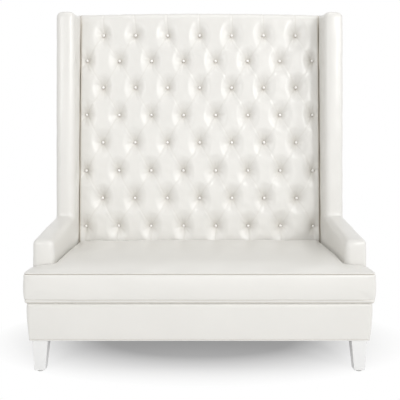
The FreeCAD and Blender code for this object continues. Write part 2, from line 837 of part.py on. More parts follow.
parts["front_seat_rail"] = front_rail().cut(dowels).cut(under_holes)
parts["back_seat_rail"] = back_rail().cut(dowels).cut(under_holes)
right_rail = side_rail().cut(dowels).cut(under_holes)
parts["right_seat_rail"] = right_rail
parts["left_seat_rail"] = mirrored(right_rail)
parts["right_cross_rail"] = cross_rail()
parts["left_cross_rail"] = mirrored(cross_rail())
front_block = corner_block(rail_front + rail_stock, False)
rear_block = corner_block(back_depth(rail_bottom + corner_block_height, back_rail_offset), True)
blocks = both_sides(front_block) + both_sides(rear_block)
seat_rear = raked_slab(-far, far, back_rail_offset, far, 0, far)
parts["corner_blocks"] = Part.Compound([b.cut(under_holes).cut(seat_rear) for b in blocks])
post = back_post().cut(dowels).cut(under_holes)
parts["right_back_post"] = post
parts["left_back_post"] = mirrored(post)
parts["back_top_rail"] = back_cross_rail(back_frame_top - middle_rail_height).cut(dowels)
parts["back_middle_rail"] = back_cross_rail(middle_rail_level).cut(dowels)
parts["back_lower_rail"] = back_cross_rail(back_lower_level).cut(dowels)
parts["back_stiles"] = Part.Compound(back_stiles())
parts["frame_dowels"] = dowels

for name, piece in (("arm_post", arm_post()), ("arm_top_rail", arm_rail()), ("wing_post", wing_post()),
                    ("wing_top_rail", wing_rail())):
    parts["right_" + name] = piece
    parts["left_" + name] = mirrored(piece)

board = raked_slab(-half_board, half_board, board_offset, back_rail_offset, back_lower_level, back_frame_top)
foam = raked_slab(-half_back + cushion_clearance, half_back - cushion_clearance, foam_offset, board_offset,
                  back_pad_bottom, back_frame_top)
holes = twine_holes(places, twine_diameter)
parts["tufting_board"] = board.cut(holes)
parts["back_foam"] = foam.cut(holes)
parts["tufted_back_pad"] = tufted_back_pad(places)
parts["back_top_roll"] = back_top_roll()
button = tuft_button()
parts["tuft_buttons"] = Part.Compound([button.translated(place) for place in places])
parts["button_twines"] = Part.Compound([rod(p, Vector(0, 1, 0), twine_diameter, twine_run()) for p in places])

form = side_block()
pad = side_pad(form)
panel = outside_panel()
parts["right_side_pad"] = pad
parts["left_side_pad"] = mirrored(pad)
parts["right_outside_panel"] = panel
parts["left_outside_panel"] = mirrored(panel)
parts["outside_back_panel"] = outside_back()

clips = []
for number in range(spring_count):
    x = (number - (spring_count - 1) / 2) * spring_spacing
    wire, ends = spring(x)
    parts["seat_spring_%d" % (number + 1)] = wire
    clips += [spring_clip(x, ends[0]), spring_clip(x, ends[1])]
parts["spring_clips"] = Part.Compound(clips)
parts["seat_deck"] = seat_deck()
parts["base_border"] = base_border()

core = cushion_core()
parts["seat_cushion_core"] = core
parts["seat_cushion_cover"] = cushion_form().cut(core).cut(zip_groove())
parts["cushion_zip_tape"] = zip_tape()
parts["cushion_zip_slider"] = zip_slider()

legs = all_corners(leg().cut(bolts[0]))
for name, piece in zip(("front_right", "front_left", "rear_right", "rear_left"), legs):
    parts[name + "_leg"] = piece
parts["leg_plates"] = Part.Compound([p.cut(bolt_set).cut(screw_set) for p in plates])
parts["leg_bolts"] = bolt_set
parts["leg_plate_screws"] = screw_set
parts["leg_glides"] = Part.Compound(all_corners(glide()))
parts["dust_cover"] = dust_cover(plates)

for name, shape in parts.items():
    print(name, len(shape.Solids), shape.isValid(), round(shape.Volume / 1000, 1))
    shape.exportStep("parts/" + name + ".step")
print(len(parts), "parts, depth", round(overall_depth, 2))
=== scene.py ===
import json
import math

import bmesh
import bpy
import numpy as np
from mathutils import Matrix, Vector
from mathutils.geometry import delaunay_2d_cdt


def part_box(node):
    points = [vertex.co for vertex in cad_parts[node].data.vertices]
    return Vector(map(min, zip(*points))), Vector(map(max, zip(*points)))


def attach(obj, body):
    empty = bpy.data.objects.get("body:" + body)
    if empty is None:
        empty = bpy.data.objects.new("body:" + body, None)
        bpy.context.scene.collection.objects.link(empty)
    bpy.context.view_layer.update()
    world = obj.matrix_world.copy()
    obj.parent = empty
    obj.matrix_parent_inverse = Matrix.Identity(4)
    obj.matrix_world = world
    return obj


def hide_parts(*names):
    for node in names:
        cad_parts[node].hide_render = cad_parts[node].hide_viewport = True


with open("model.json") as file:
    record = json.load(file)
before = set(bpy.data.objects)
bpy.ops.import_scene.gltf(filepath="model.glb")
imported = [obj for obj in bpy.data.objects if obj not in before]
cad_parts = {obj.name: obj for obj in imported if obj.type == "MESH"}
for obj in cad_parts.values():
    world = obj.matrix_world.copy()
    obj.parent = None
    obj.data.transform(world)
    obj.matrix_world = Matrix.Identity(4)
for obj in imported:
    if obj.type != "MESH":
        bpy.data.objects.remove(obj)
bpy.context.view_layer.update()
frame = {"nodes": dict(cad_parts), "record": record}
nodes = frame["nodes"]
scene = bpy.context.scene

# Sizes in metres, in the frame of the CAD model
FRONT = -0.36705            # frontmost point of the seat cushion
SEAT_Z = 0.470              # seat height
BACK_Y = FRONT + 0.563      # crowns of the tufted back at seat height
RAKE = 0.033                # how far the back leans for each metre of height
HALF_BACK = 0.665           # from the middle to the pads beside the back
HALF_SPAN = 0.765           # from the middle to the outer sides
BACK_TOP = 1.736            # top of the back at its ends
BACK_ARCH = 0.010           # how much higher that top is in the middle
COVER_OFFSET = 0.124        # from the crowns to the outside back
WING_TOP = 1.722
WING_Y = FRONT + 0.458      # front of the wings
ARM_Y = FRONT + 0.094       # front of the arms
ARM_TOP = 0.575             # top of the arms at their front
ARM_RISE = 0.1456           # slope of the arms' tops
PLATFORM = 0.310            # top of the base
LEG_TOP = 0.143


def back_y(z, offset=0.0):
    """Depth of the leaning back at height z, offset behind its crowns."""
    return BACK_Y + (z - SEAT_Z) * RAKE + offset


def top_z(x):
    """Height of the back's arched top."""
    return BACK_TOP + BACK_ARCH * (1 - (x / HALF_BACK) ** 2)


def linked(name, data):
    """A new object of the scene."""
    thing = bpy.data.objects.new(name, data)
    scene.collection.objects.link(thing)
    return thing


# Camera: level, in front of the seat; lens and sensor in millimetres

CAMERA_AT = (0.0, FRONT - 2.14, 1.0316)
LENS, SENSOR = 44.1, 36.0
SHIFT_X, SHIFT_Y = 0.001, -0.15


def set_camera():
    data = bpy.data.cameras.new("camera")
    data.sensor_width = SENSOR
    data.lens = LENS
    data.shift_x, data.shift_y = SHIFT_X, SHIFT_Y
    camera = linked("camera", data)
    camera.location = CAMERA_AT
    camera.rotation_euler = (math.pi / 2, 0, 0)
    scene.camera = camera


# Materials

MATERIALS = {}              # by slot


class Graph:
    """One material and short calls that add and join its nodes."""

    def __init__(self, name):
        self.name = name
        self.material = bpy.data.materials.new(name)
        self.material.use_nodes = True
        self.tree = self.material.node_tree
        self.shader = self.tree.nodes["Principled BSDF"]
        self.place = self.add("ShaderNodeTexCoord").outputs["Object"]

    def add(self, kind, inputs=None, **values):
        node = self.tree.nodes.new(kind)
        for key, value in values.items():
            setattr(node, key, value)
        for key, value in (inputs or {}).items():
            node.inputs[key].default_value = value
        return node

    def join(self, output, node, socket):
        self.tree.links.new(output, node.inputs[socket])

    def noise(self, scale, detail=2.0, distortion=0.0, stretch=None):
        node = self.add("ShaderNodeTexNoise",
                        {"Scale": scale, "Detail": detail, "Distortion": distortion})
        source = self.place
        if stretch:
            mapping = self.add("ShaderNodeMapping", {"Scale": stretch})
            self.join(self.place, mapping, "Vector")
            source = mapping.outputs["Vector"]
        self.join(source, node, "Vector")
        return node.outputs["Fac"]

    def cells(self, scale):
        node = self.add("ShaderNodeTexVoronoi", {"Scale": scale}, feature="F1")
        self.join(self.place, node, "Vector")
        return node.outputs["Distance"]

    def ramp(self, value, low, high, to_low=0.0, to_high=1.0):
        node = self.add("ShaderNodeMapRange", {"From Min": low, "From Max": high,
                                               "To Min": to_low, "To Max": to_high})
        self.join(value, node, "Value")
        return node.outputs["Result"]

    def blend(self, factor, first, second):
        """Mix of two colours; each is a colour or another blend's output."""
        node = self.add("ShaderNodeMix", data_type="RGBA")
        self.join(factor, node, "Factor")
        for socket, value in ((6, first), (7, second)):
            if isinstance(value, tuple):
                node.inputs[socket].default_value = (*value, 1.0)
            else:
                self.tree.links.new(value, node.inputs[socket])
        return node.outputs[2]

    def attribute(self, name):
        return self.add("ShaderNodeAttribute", attribute_name=name).outputs["Fac"]

    def bump(self, height, strength, distance, before=None):
        node = self.add("ShaderNodeBump", {"Strength": strength, "Distance": distance})
        self.join(height, node, "Height")
        if before:
            self.join(before, node, "Normal")
        return node.outputs["Normal"]

    def set(self, **values):
        for key, value in values.items():
            self.shader.inputs[key.replace("_", " ")].default_value = value

    def finish(self, colour, roughness, normal):
        """Joins the graph to its shader and keeps the material for its slot."""
        self.join(colour, self.shader, "Base Color")
        if isinstance(roughness, float):
            self.shader.inputs["Roughness"].default_value = roughness
        else:
            self.join(roughness, self.shader, "Roughness")
        self.join(normal, self.shader, "Normal")
        MATERIALS[self.name] = self.material


SPAN = (0.3, 0.7)           # values of a noise on most of a surface


def toned(tone, share):
    return tuple(min(1.0, c * share) for c in tone)


def leather(name, tone, shade, rough=(0.28, 0.38), grain=1.0, coat=0.45):
    """Smooth coated leather: cloudy tone, warm painted shade in creases, pebbled grain and faint
    pull wrinkles.
    """
    g = Graph(name)
    cloudy = g.ramp(g.noise(3.2, 4.0, 0.4), *SPAN)
    colour = g.blend(cloudy, tone, toned(tone, 1.025))
    # Painted shade: the tone turns to the shade colour by the share the mesh stores
    colour = g.blend(g.attribute("painted_shade"), colour, shade)
    pebble = g.bump(g.cells(430.0), 0.10 * grain, 0.0006)
    fine = g.bump(g.noise(1300.0, 2.0), 0.06 * grain, 0.0004, pebble)
    pull = g.bump(g.noise(26.0, 3.0, 0.6), 0.10, 0.0022, fine)
    g.set(IOR=1.5, Coat_Weight=coat, Coat_Roughness=0.29, Specular_IOR_Level=0.6)
    g.finish(colour, g.ramp(g.noise(9.0, 3.0), *SPAN, *rough), pull)


def wood(name, dark, light, rough=0.55, scale=14.0):
    """Bare wood with drawn-out rings."""
    g = Graph(name)
    rings = g.noise(scale, 6.0, 1.2, stretch=(1.0, 7.0, 7.0))
    colour = g.blend(g.ramp(rings, 0.35, 0.65), dark, light)
    worn = g.ramp(rings, *SPAN, rough - 0.08, rough + 0.08)
    g.finish(colour, worn, g.bump(rings, 0.2, 0.0008))


def lacquer(name, tone):
    """Sprayed satin lacquer with a faint orange peel over closed grain."""
    g = Graph(name)
    colour = g.blend(g.ramp(g.noise(5.0, 3.0), *SPAN), tone, toned(tone, 0.975))
    peel = g.bump(g.noise(210.0, 1.0), 0.05, 0.0005)
    grain = g.bump(g.noise(40.0, 3.0, 0.8, stretch=(9.0, 9.0, 1.0)), 0.04, 0.0004, peel)
    g.set(Coat_Weight=0.25, Coat_Roughness=0.16)
    g.finish(colour, g.ramp(g.noise(14.0), *SPAN, 0.29, 0.34), grain)


def metal(name, tone, rough):
    """Drawn or plated metal, a little stained."""
    g = Graph(name)
    drawn = g.noise(90.0, 3.0)
    colour = g.blend(g.ramp(drawn, *SPAN), tone, toned(tone, 0.82))
    g.set(Metallic=1.0)
    worn = g.ramp(drawn, *SPAN, rough - 0.07, rough + 0.1)
    g.finish(colour, worn, g.bump(drawn, 0.08, 0.0003))


def woven(name, tone, dark, threads, rough=0.85, depth=0.0006):
    """Plain weave from two crossed rows of threads."""
    g = Graph(name)
    waves = []
    for axis in ("X", "Y"):
        wave = g.add("ShaderNodeTexWave", {"Scale": threads, "Distortion": 0.6},
                     wave_type="BANDS", bands_direction=axis)
        g.join(g.place, wave, "Vector")
        waves.append(wave.outputs["Fac"])
    crossed = g.add("ShaderNodeMath", operation="MULTIPLY")
    g.join(waves[0], crossed, 0)
    g.join(waves[1], crossed, 1)
    cloth = crossed.outputs["Value"]
    worn = g.blend(g.ramp(g.noise(6.0, 4.0), *SPAN), tone, toned(tone, 0.93))
    colour = g.blend(cloth, dark, worn)
    g.finish(colour, rough, g.bump(cloth, 0.5, depth))


def matted(name, tone, dark, scale, rough=0.9, depth=0.0008):
    """Felted, foamed or moulded surface with fine irregular grain."""
    g = Graph(name)
    pores = g.noise(scale, 3.0)
    colour = g.blend(g.ramp(pores, 0.35, 0.65), dark, tone)
    g.finish(colour, rough, g.bump(pores, 0.4, depth))


WHITE = (0.795, 0.783, 0.750)
# Colour of the painted shade in creases, seams, pits and gaps
PAINTED_SHADE_TONE = (0.53, 0.485, 0.41)
LINEN = (0.66, 0.63, 0.57)

leather("padded_leather", WHITE, PAINTED_SHADE_TONE)
leather("outer_leather", WHITE, PAINTED_SHADE_TONE, rough=(0.40, 0.50), grain=1.2)
# The buttons' tone is lighter than that of the same leather round them: a painted highlight
leather("button_leather", (0.96, 0.95, 0.93), PAINTED_SHADE_TONE, rough=(0.24, 0.30), grain=0.3, coat=0.9)
wood("hardwood", (0.36, 0.22, 0.11), (0.52, 0.35, 0.19))
wood("plywood", (0.50, 0.35, 0.20), (0.66, 0.50, 0.31), rough=0.6, scale=9.0)
matted("foam", (0.88, 0.80, 0.52), (0.80, 0.71, 0.44), 520.0)
matted("twine", (0.62, 0.54, 0.40), (0.48, 0.41, 0.29), 900.0, rough=0.7)
metal("spring_steel", (0.30, 0.30, 0.32), 0.38)
metal("zinc_plate", (0.62, 0.63, 0.66), 0.34)
woven("deck_cloth", LINEN, (0.42, 0.40, 0.36), 130.0)
matted("dust_cloth", (0.022, 0.022, 0.024), (0.010, 0.010, 0.011), 700.0, rough=0.92, depth=0.0005)
lacquer("white_lacquer", (0.87, 0.87, 0.865))
matted("glide_nylon", (0.55, 0.55, 0.54), (0.47, 0.47, 0.46), 160.0, rough=0.5, depth=0.0003)
woven("zip_tape", LINEN, (0.50, 0.47, 0.42), 420.0, rough=0.8, depth=0.0004)
metal("zip_metal", (0.66, 0.66, 0.66), 0.26)


def dress_nodes():
    """CAD nodes that stay get the procedural material of their slot."""
    for row in frame["record"]["subparts"]:
        mesh = nodes[row["node"]].data
        mesh.materials.clear()
        mesh.materials.append(MATERIALS[row["material_slot"]])


# Mesh helpers

def add_painted_shade(mesh, values):
    """The share of painted shade colour at each point, which the leathers read."""
    layer = mesh.attributes.new("painted_shade", "FLOAT", "POINT")
    layer.data.foreach_set("value", np.asarray(values, np.float32))


def new_piece(name, verts, faces, slot, body, *replaced, painted_shade=None, smooth=True):
    """A mesh object with its material, body, slot and the CAD nodes that it stands for."""
    mesh = bpy.data.meshes.new(name)
    mesh.from_pydata(np.asarray(verts, float).tolist(), [], faces)
    if painted_shade is not None:
        add_painted_shade(mesh, painted_shade)
    mesh.validate()
    mesh.update()
    if smooth:
        mesh.shade_smooth()
    return settle(linked(name, mesh), slot, body, *replaced)


def settle(piece, slot, body, *replaced):
    piece.data.materials.clear()
    piece.data.materials.append(MATERIALS[slot])
    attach(piece, body)
    if replaced:
        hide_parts(*replaced)
    return piece


def apply_modifiers(piece):
    """Turns what the modifiers give into the piece's own mesh."""
    graph = bpy.context.evaluated_depsgraph_get()
    made = bpy.data.meshes.new_from_object(piece.evaluated_get(graph), depsgraph=graph)
    piece.modifiers.clear()
    old = piece.data
    piece.data = made
    bpy.data.meshes.remove(old)


def merge_doubles(mesh):
    """Joins points that coincide and drops the faces that this leaves without area."""
    shape = bmesh.new()
    shape.from_mesh(mesh)
    bmesh.ops.remove_doubles(shape, verts=shape.verts, dist=1e-6)
    bmesh.ops.dissolve_degenerate(shape, edges=shape.edges, dist=1e-7)
    shape.to_mesh(mesh)
    shape.free()


def vectors_of(mesh, key="co"):
    """An array of the points of a mesh, or with key "normal" of their normals."""
    flat = np.empty(len(mesh.vertices) * 3)
    mesh.vertices.foreach_get(key, flat)
    return flat.reshape(-1, 3)


def set_points(mesh, points):
    mesh.vertices.foreach_set("co", np.ascontiguousarray(points).ravel())
    mesh.update()


# Curves and fields over points

def share(value, start, span):
    """0 up to start, then evenly up to 1 over span."""
    return np.clip((value - start) / span, 0, 1)


def smoothstep(value):
    return value * value * (3 - 2 * value)


def bell(distance, width):
    return np.exp(-(distance / width) ** 2)


def eased(distance, width):
    """0 at distance 0 and close to 1 beyond a few widths."""
    return 1 - np.exp(-distance / width)


def soft_noise(points, size, seed, waves=14):
    """Smooth random field, about -1 to 1, whose features are about size across."""
    local = np.random.default_rng(seed)
    total = np.zeros(len(points))
    for _ in range(waves):
        direction = local.normal(size=points.shape[1])
        direction *= local.uniform(0.6, 1.5) / np.linalg.norm(direction)
        phase = local.uniform(0, 2 * math.pi)
        total += np.sin(points @ direction * (2 * math.pi / size) + phase)
    return total / math.sqrt(waves)


# Outlines and closed shells

ARC_STEP = 0.004            # longest step on a rounded corner


def mirrored(right):
    """Corners of a closed outline from those of its right half, front to rear."""
    left = [(-x, y, radius) for x, y, radius in reversed(right)]
    return [left[-1], *right, *left[:-1]]


def rounded(corners, step=0.01):
    """Closed outline through corners (u, v, radius), with arcs, in points about step apart."""
    outline = []
    for index, (*spot, radius) in enumerate(corners):
        point = np.array(spot, float)
        if radius <= 0:
            outline.append(point)
            continue
        before = np.array(corners[index - 1][:2], float)
        after = np.array(corners[(index + 1) % len(corners)][:2], float)
        a = (before - point) / np.linalg.norm(before - point)
        b = (after - point) / np.linalg.norm(after - point)
        half = math.acos(float(np.clip(a @ b, -1, 1))) / 2
        reach = radius / math.tan(half)
        centre = point + (a + b) / np.linalg.norm(a + b) * radius / math.sin(half)
        start = point + a * reach - centre
        end = point + b * reach - centre
        turn = math.atan2(start[0] * end[1] - start[1] * end[0], start @ end)
        parts = max(4, int(abs(turn) * radius / ARC_STEP))
        for part in range(parts + 1):
            angle = turn * part / parts
            c, s = math.cos(angle), math.sin(angle)
            arm = np.array([c * start[0] - s * start[1], s * start[0] + c * start[1]])
            outline.append(centre + arm)
    filled = []
    for point, after in zip(outline, outline[1:] + outline[:1]):
        parts = max(1, int(round(np.linalg.norm(after - point) / step)))
        filled += [point + (after - point) * part / parts for part in range(parts)]
    return np.array(filled)


def inward(outline):
    """Unit vectors into the outline at each of its points; the outline runs anticlockwise."""
    along = np.roll(outline, -1, 0) - np.roll(outline, 1, 0)
    along /= np.linalg.norm(along, axis=1)[:, None]
    return np.stack([-along[:, 1], along[:, 0]], 1)


def inside(points, outline):
    """Which points lie inside a closed outline."""
    result = np.zeros(len(points), bool)
    for a, b in zip(outline, np.roll(outline, -1, 0)):
        crosses = (a[1] > points[:, 1]) != (b[1] > points[:, 1])
        if abs(b[1] - a[1]) > 1e-12:
            at = a[0] + (points[:, 1] - a[1]) * (b[0] - a[0]) / (b[1] - a[1])
            result ^= crosses & (points[:, 0] < at)
    return result


def near(points, outline):
    """Distance from each point to the nearest point of an outline, open or closed."""
    best = np.full(len(points), 1e9)
    for spot in outline:
        best = np.minimum(best, np.hypot(points[:, 0] - spot[0], points[:, 1] - spot[1]))
    return best


FILL_MARGIN = 0.55          # how far filling points stay off the ring, as a share of their spacing


def fill(ring, spacing):
    """Triangles that fill a ring of 2-D points; returns the added points and the faces."""
    low, high = ring.min(0), ring.max(0)
    us = np.arange(low[0] + spacing / 2, high[0], spacing)
    vs = np.arange(low[1] + spacing / 2, high[1], spacing)
    grid = np.stack(np.meshgrid(us, vs), -1).reshape(-1, 2)
    grid = grid[inside(grid, ring)]
    grid = grid[near(grid, ring) > FILL_MARGIN * spacing]
    spots = [Vector(p) for p in np.vstack([ring, grid])]
    edges = [(i, (i + 1) % len(ring)) for i in range(len(ring))]
    _, _, faces, origin, _, _ = delaunay_2d_cdt(spots, edges, [], 1, 1e-7)
    where = [o[0] for o in origin]
    return grid, [tuple(where[i] for i in face) for face in faces]


def ring_faces(count, rings):
    """Faces between closed rings of count points each, one ring after the other."""
    faces = []
    for start in range(0, (rings - 1) * count, count):
        for i in range(count):
            j = (i + 1) % count
            faces.append((start + i, start + j, start + count + j, start + count + i))
    return faces


def heights(level, points):
    """level is one height for all points, or gives their heights."""
    return level(points) if callable(level) else np.full(len(points), level)


def stuffed(outline, rows, top, bottom, spacing):
    """Closed shell over a 2-D outline; returns its u, v, w points and faces. rows are
    (inset, height) from the bottom face's edge to the top face's edge."""
    turn = inward(outline)
    count = len(outline)
    points = []
    for inset, height in rows:
        ring = outline + turn * inset
        points.append(np.column_stack([ring, heights(height, ring)]))
    faces = ring_faces(count, len(rows))
    total = count * len(rows)
    for row, level, flip in ((len(rows) - 1, top, False), (0, bottom, True)):
        grid, made = fill(points[row][:, :2], spacing)
        points.append(np.column_stack([grid, heights(level, grid)]))
        for face in made:
            spots = [row * count + i if i < count else total + i - count for i in face]
            faces.append(tuple(reversed(spots)) if flip else tuple(spots))
        total += len(grid)
    return np.vstack(points), faces


# Tufted back

PITCH_X = 0.090             # between columns of buttons
ROWS_Z = (0.5544, 0.7085, 0.8613, 1.0182, 1.1717, 1.3258, 1.4759, 1.6202)
LAST_COLUMN = 7             # columns run from -7 to 7
BUTTON_RADIUS = 0.0080
BUTTON_DEPTH = 0.0222       # a button's seat behind the crowns
SIDE_BUTTON_DEPTH = 0.0130  # the same in the outermost columns
PIT_DEPTH = 0.0320
PIT_REACH = 0.060
PIT_FLOOR = 0.0065          # radius of the floor under the button
PIT_SQUEEZE = 0.70          # width of a pit over its height
SIDE_PIT = 0.7              # depth of the outermost pits over that of the others
CROWN_LIFT = 0.0020
VALLEY, VALLEY_WIDTH = 0.0007, 0.017
FOLD, FOLD_WIDTH = 0.0010, 0.0030
RIDGE, RIDGE_WIDTH, RIDGE_OFFSET = 0.0011, 0.0045, 0.0105
FADE_IN = 0.12              # share of a pleat's length over which it starts and ends


def button_places():
    """Centres of the buttons by column and row."""
    columns = range(-LAST_COLUMN, LAST_COLUMN + 1)
    return {(i, k): (i * PITCH_X, z)
            for k, z in enumerate(ROWS_Z) for i in columns if (i + k) % 2}


def sink_pit(height, painted_shade, x, z, column, centre, draw):
    """Adds the pit round one button, with small folds that run out of it."""
    side = SIDE_PIT if abs(column) == LAST_COLUMN else 1.0
    depth = PIT_DEPTH * draw.uniform(0.93, 1.05) * side
    reach = PIT_REACH * draw.uniform(0.94, 1.08)
    waves = draw.integers(6, 10)
    phase = draw.uniform(0, 2 * math.pi)
    dx, dz = x - centre[0], (z - centre[1]) * PIT_SQUEEZE
    radius = np.hypot(dx, dz)
    free = np.maximum(radius - PIT_FLOOR, 0)
    height -= depth * np.clip(1 - free / reach, 0, 1) ** 1.75
    angle = np.arctan2(dz, dx)
    ripple = (0.5 * np.sin(waves * angle + phase)
              + 0.5 * np.sin((waves + 3) * angle + 2.3 * phase))
    height += 0.0011 * ripple * bell(radius - 0.024, 0.015)
    # Painted shade on the pit's floor round the button, and fainter painted shade over the whole
    # pit
    np.maximum(painted_shade, 0.5 * np.exp(-(free / 0.0030) ** 1.2), out=painted_shade)
    np.maximum(painted_shade, 0.26 * bell(free, 0.022), out=painted_shade)


def pleats(places):
    """Lines x0, z0, x1, z1 with strength and width: from button to button, and from the
    outer buttons to the top, the seat and the sides."""
    lines = []
    for (i, k), start in places.items():
        for step in (-1, 1):
            end = places.get((i + step, k + 1))
            if end:
                lines.append((*start, *end, 1.0, 1.0))
    for (i, k), (x, z) in places.items():
        if k == len(ROWS_Z) - 1:
            lines.append((x, z, x, BACK_TOP + 0.10, 1.35, 1.5))
        if k == 0:
            lines.append((x, z, x, 0.40, 1.2, 1.4))
        if abs(i) == LAST_COLUMN:
            lines.append((x, z, math.copysign(0.70, x), z, 0.6, 1.0))
    return lines


def fold_pleat(height, painted_shade, x, z, line, draw):
    """Adds one pleat: a shallow valley, a sharp fold along it and a ridge over the fold."""
    x0, z0, x1, z1, strength, wide = line
    length = math.hypot(x1 - x0, z1 - z0)
    ux, uz = (x1 - x0) / length, (z1 - z0) / length
    bow = draw.normal(0, 0.0025)
    power = strength * draw.uniform(0.75, 1.2)
    along = ((x - x0) * ux + (z - z0) * uz) / length
    across = (x - x0) * -uz + (z - z0) * ux
    arc = np.clip(along, 0, 1)
    across = across - bow * 4 * arc * (1 - arc)
    if strength == 1.0:
        window = share(along, 0, FADE_IN) * share(1 - along, 0, FADE_IN)
        ends = 0.45 + 1.7 * (np.exp(-arc / 0.16) + np.exp(-(1 - arc) / 0.16))
    else:
        window = share(along, 0, FADE_IN) * (along < 1.6)
        ends = 0.8 + 1.2 * np.exp(-arc / 0.2)
    window = smoothstep(window)
    valley = VALLEY * bell(across, VALLEY_WIDTH * wide)
    fold = FOLD * np.exp(-np.abs(across) / FOLD_WIDTH)
    side = 1.0 if ux * uz <= 0 else -1.0
    ridge = RIDGE * bell(across - side * RIDGE_OFFSET, RIDGE_WIDTH)
    height -= power * window * (valley * ends + fold * ends - ridge)
    # Painted shade along the fold
    np.maximum(painted_shade, 0.22 * window * bell(across, 0.0028) * ends, out=painted_shade)


def tuft_field(x, z):
    """Height over the crowns, negative in pits and pleats, and a share of painted shade, at points.
    """
    places = button_places()
    height, painted_shade = np.zeros_like(x), np.zeros_like(x)
    draw = np.random.default_rng(5)
    for (column, _), centre in places.items():
        sink_pit(height, painted_shade, x, z, column, centre, draw)
    for line in pleats(places):
        fold_pleat(height, painted_shade, x, z, line, draw)
    return height + CROWN_LIFT, np.clip(painted_shade, 0, 1)


COVER_HALF = HALF_BACK - 0.0005
COVER_LOW = 0.331           # lower edge of the tufted cover, behind the cushion
COVER_EDGE = 0.006          # radius of its edges beside the pads
ROLL = 0.036                # radius of the roll over the back's top
PAD_REAR = 0.050            # rear of the tufted pad behind its crowns
PAD_TOP = 1.686             # top of that rear, under the cap that runs back


def cover_columns():
    """x of the cover's columns, closer together on its rounded edges."""
    edge = COVER_HALF - COVER_EDGE
    rim = COVER_EDGE * (1 - np.cos(np.linspace(0, math.pi / 2, 9)[:-1]))
    return np.concatenate([-COVER_HALF + rim, np.linspace(-edge, edge, 325),
                           (COVER_HALF - rim)[::-1]])


def cover_section():
    """Steps up the front by height, round the roll by angle and back over the top by depth."""
    parts = (("front", np.linspace(COVER_LOW, BACK_TOP - ROLL, 345)),
             ("roll", np.linspace(0, math.pi / 2, 15)[1:]),
             ("top", np.linspace(ROLL, COVER_OFFSET, 24)[1:]))
    return [(part, value) for part, values in parts for value in values]


def untufted(xs, section):
    """The cover without its tufting: points, outward normals and run up the section, over
    the grid, and how much of the tufting each step of the section has."""
    base = np.zeros((len(xs), len(section), 3))
    normal = np.zeros_like(base)
    run = np.zeros(base.shape[:2])
    fade = np.ones(len(section))
    tops = top_z(xs)
    foot = tops - ROLL
    for j, (part, value) in enumerate(section):
        if part == "front":
            z = COVER_LOW + (value - COVER_LOW) * (foot - COVER_LOW) / (BACK_TOP - ROLL - COVER_LOW)
            offset, out = 0.0, (0.0, -1.0, RAKE)
            run[:, j] = z
        elif part == "roll":
            z = foot + ROLL * math.sin(value)
            offset, out = ROLL * (1 - math.cos(value)), (0.0, -math.cos(value), math.sin(value))
            run[:, j] = foot + ROLL * value
            fade[j] = 1 - 0.3 * value / (math.pi / 2)
        else:
            z = tops
            offset, out = value, (0.0, 0.0, 1.0)
            run[:, j] = foot + ROLL * math.pi / 2 + value - ROLL
            fade[j] = max(0.0, 1 - (value - ROLL) / 0.05)
        base[:, j] = np.column_stack([xs, back_y(z, offset), z])
        normal[:, j] = out
    # The top corners reach over the pads beside them
    lap = share(np.abs(xs), 0.630, 0.034)[:, None] ** 2 * share(run, 1.675, 0.035)
    base[:, :, 0] += np.sign(xs)[:, None] * 0.0060 * lap
    return base, normal, run, fade


def cover_rear(xs, section, front):
    """Left and right edge of the cover's rear."""
    rear = np.zeros((2, len(section), 3))
    for index in (0, -1):
        for j, (part, value) in enumerate(section):
            z, offset = front[index, j, 2], PAD_REAR
            if part != "front":
                z = min(z, PAD_TOP)
            if part == "top":
                z, offset = PAD_TOP, max(value, PAD_REAR + 0.0005)
            rear[index, j] = (xs[index], back_y(z, offset), z)
    return rear


def cover_faces(n, m):
    """Faces over a front of n columns and m steps, then the rear's two edges of m steps."""
    faces = [(a, a + m, a + m + 1, a + 1)
             for i in range(n - 1) for a in range(i * m, i * m + m - 1)]
    last, left, right = (n - 1) * m, n * m, n * m + m
    for j in range(m - 1):
        faces.append((left + j, j, j + 1, left + j + 1))
        faces.append((last + j, right + j, right + j + 1, last + j + 1))
        faces.append((right + j, left + j, left + j + 1, right + j + 1))
    faces.append((left, right, *range(last, -1, -m)))
    faces.append((right + m - 1, left + m - 1, *range(m - 1, n * m, m)))
    return faces


def tufted_back():
    """Front, rolled top and cap of the back as one padded cover."""
    xs, section = cover_columns(), cover_section()
    n, m = len(xs), len(section)
    base, normal, run, fade = untufted(xs, section)
    plan = np.column_stack([np.repeat(xs, m), run.ravel()])
    wobble = [0.0022 * soft_noise(plan, 0.16, seed) for seed in (11, 12)]
    height, painted_shade = tuft_field(plan[:, 0] + wobble[0], plan[:, 1] + wobble[1])
    height += 0.0003 * soft_noise(plan, 0.07, 13) + 0.0006 * soft_noise(plan, 0.19, 14)
    height = height.reshape(n, m) * fade
    painted_shade = painted_shade.reshape(n, m) * fade
    side = COVER_HALF - np.abs(xs)
    level = np.sqrt(np.maximum(COVER_EDGE ** 2 - (COVER_EDGE - side) ** 2, 0))
    fall = np.where(side < COVER_EDGE, COVER_EDGE - level, 0)
    corner = 1 - 0.85 * share(run[n // 2], 1.66, 0.05)
    height = np.minimum(height, 0.003) - fall[:, None] * corner
    # Painted shade in the groove where the cover's edge meets the pads
    painted_shade = np.maximum(painted_shade, np.clip(1 - side / 0.012, 0, 1)[:, None] * 0.8)
    front = base + normal * height[:, :, None]
    rear = cover_rear(xs, section, front)
    verts = np.vstack([front.reshape(-1, 3), rear.reshape(-1, 3)])
    piece = new_piece("tufted_back", verts, cover_faces(n, m), "padded_leather", "settee_frame",
                      "tufted_back_pad", "back_top_roll",
                      painted_shade=np.concatenate([painted_shade.ravel(), np.zeros(2 * m)]))
    merge_doubles(piece.data)


# A button's section: share of its radius and height over its seat
BUTTON_SECTION = (
    (0.0, 0.0068), (0.16, 0.0067), (0.36, 0.0063), (0.56, 0.0055), (0.74, 0.0043),
    (0.88, 0.0027), (0.97, 0.0010), (1.0, -0.0006), (0.965, -0.0021), (0.85, -0.0028))
BUTTON_SIDES = 28


